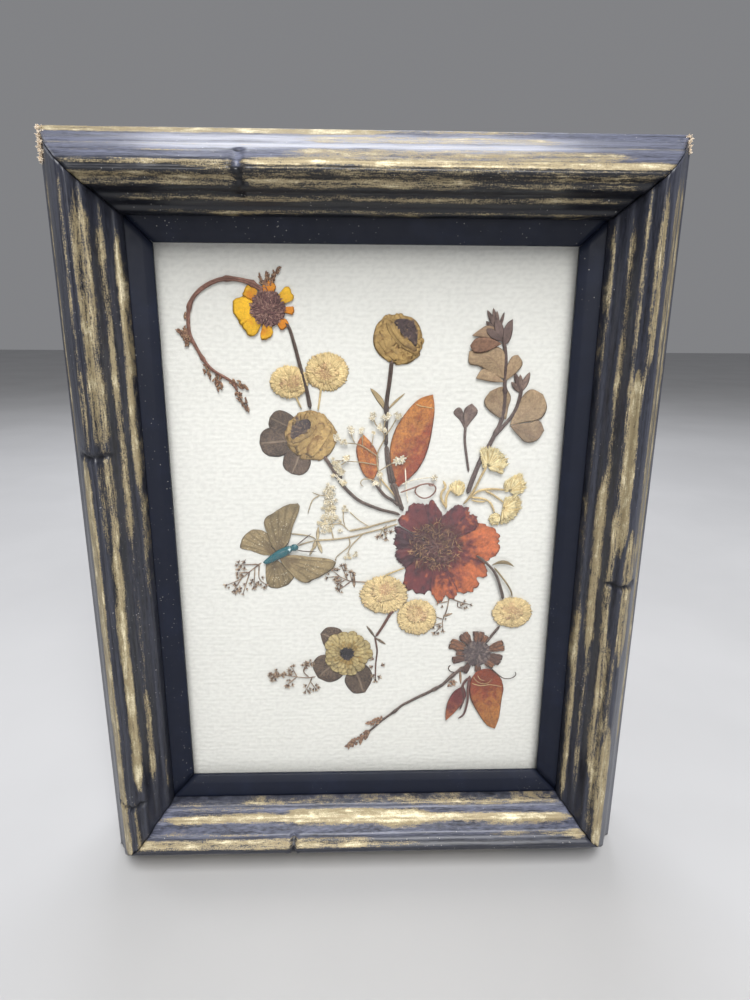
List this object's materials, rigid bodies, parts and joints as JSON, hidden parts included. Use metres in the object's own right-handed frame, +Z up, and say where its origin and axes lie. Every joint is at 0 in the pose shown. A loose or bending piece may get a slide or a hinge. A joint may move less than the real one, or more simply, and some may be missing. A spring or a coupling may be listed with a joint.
{
  "type": "pressed flower frame",
  "caption": "Standing wooden frame with a black and gold moulding, a black slip and glass over dried flowers, leaves and a butterfly on white laid paper.",
  "frame": {"origin": "middle of the base, where the frame stands, at the centre of its width and depth", "axes": "+Z up along the frame's height, -Y out of the picture towards the viewer, +X to the viewer's right"},
  "size_m": [0.1696, 0.0422, 0.2205],
  "materials": {
    "black_gold_paint": "black paint, dry-brushed with antique gold along the reeds, chipped",
    "black_satin": "black satin paint on a wooden slip",
    "clear_glass": "clear picture glass",
    "laid_paper": "warm white laid paper",
    "grey_board": "plain brown board",
    "yellow_petal": "dried yellow petal, matt",
    "dark_stem": "dried dark stem",
    "red_brown_stem": "dried red-brown stem",
    "cream_pompon": "dried cream button flower",
    "tan_bud_petal": "dried tan petal",
    "grey_brown_leaf": "dried grey-brown leaf",
    "orange_leaf": "dried orange-brown leaf, faint sheen",
    "mauve_leaf": "dried mauve-brown leaf and stem",
    "tan_leaf": "dried tan leaf",
    "cream_floret": "dried pale cream floret",
    "red_petal": "dried maroon to orange petal, veined",
    "flower_fibre": "dried stamens, fibrous",
    "green_brown_stem": "dried green-brown stem",
    "olive_wing": "olive-brown wing with a silky sheen",
    "teal_body": "shiny teal insect body",
    "pale_twig": "dried pale twig",
    "white_floret": "dried off-white floret",
    "seed_brown": "dried brown seeds on stalks",
    "buff_petal": "dried buff petal",
    "purple_brown_petal": "dried purple-brown petal"
  },
  "bodies": {
    "root": {"arched_stem": "red_brown_stem", "backing_board": "grey_board", "butterfly_body": "teal_body", "butterfly_forewing_lower": "olive_wing", "butterfly_forewing_upper": "olive_wing", "butterfly_hindwing_lower": "olive_wing", "butterfly_hindwing_upper": "olive_wing", "butterfly_twig": "pale_twig", "cream_bud": "cream_floret", "cream_floret_cluster": "cream_floret", "cream_floret_upper": "cream_floret", "glass": "clear_glass", "heart_leaf": "mauve_leaf", "large_orange_leaf": "orange_leaf", "left_bud_flower": "tan_bud_petal", "left_bud_leaves": "grey_brown_leaf", "left_bud_stem": "dark_stem", "long_bud_stem": "dark_stem", "lower_left_flower": "buff_petal", "lower_left_leaves": "grey_brown_leaf", "lower_left_sprig": "seed_brown", "lower_left_stem": "dark_stem", "lower_orange_leaf": "orange_leaf", "lower_right_flower": "purple_brown_petal", "mount_paper": "laid_paper", "pompon_1": "cream_pompon", "pompon_2": "cream_pompon", "pompon_3": "cream_pompon", "pompon_4": "cream_pompon", "pompon_5": "cream_pompon", "rail_bottom": "black_gold_paint", "rail_left": "black_gold_paint", "rail_right": "black_gold_paint", "rail_top": "black_gold_paint", "red_flower_centre": "flower_fibre", "red_flower_stem": "green_brown_stem", "red_petals_lower": "red_petal", "red_petals_upper": "red_petal", "right_sprig_stem": "mauve_leaf", "seed_spray_left": "seed_brown", "seed_spray_right": "seed_brown", "seed_twig_lower": "seed_brown", "slip_bottom": "black_satin", "slip_left": "black_satin", "slip_right": "black_satin", "slip_top": "black_satin", "small_orange_leaf": "orange_leaf", "small_red_leaf": "orange_leaf", "sprig_leaf_centre": "tan_leaf", "sprig_leaf_round": "mauve_leaf", "sprig_leaves_middle": "tan_leaf", "sprig_leaves_right": "tan_leaf", "sprig_leaves_top": "tan_leaf", "tendril_loop": "red_brown_stem", "top_bud_flower": "tan_bud_petal", "top_bud_stem": "dark_stem", "white_sprig": "white_floret", "yellow_flower": "yellow_petal", "yellow_flower_stem": "dark_stem"}
  },
  "joints": []
}
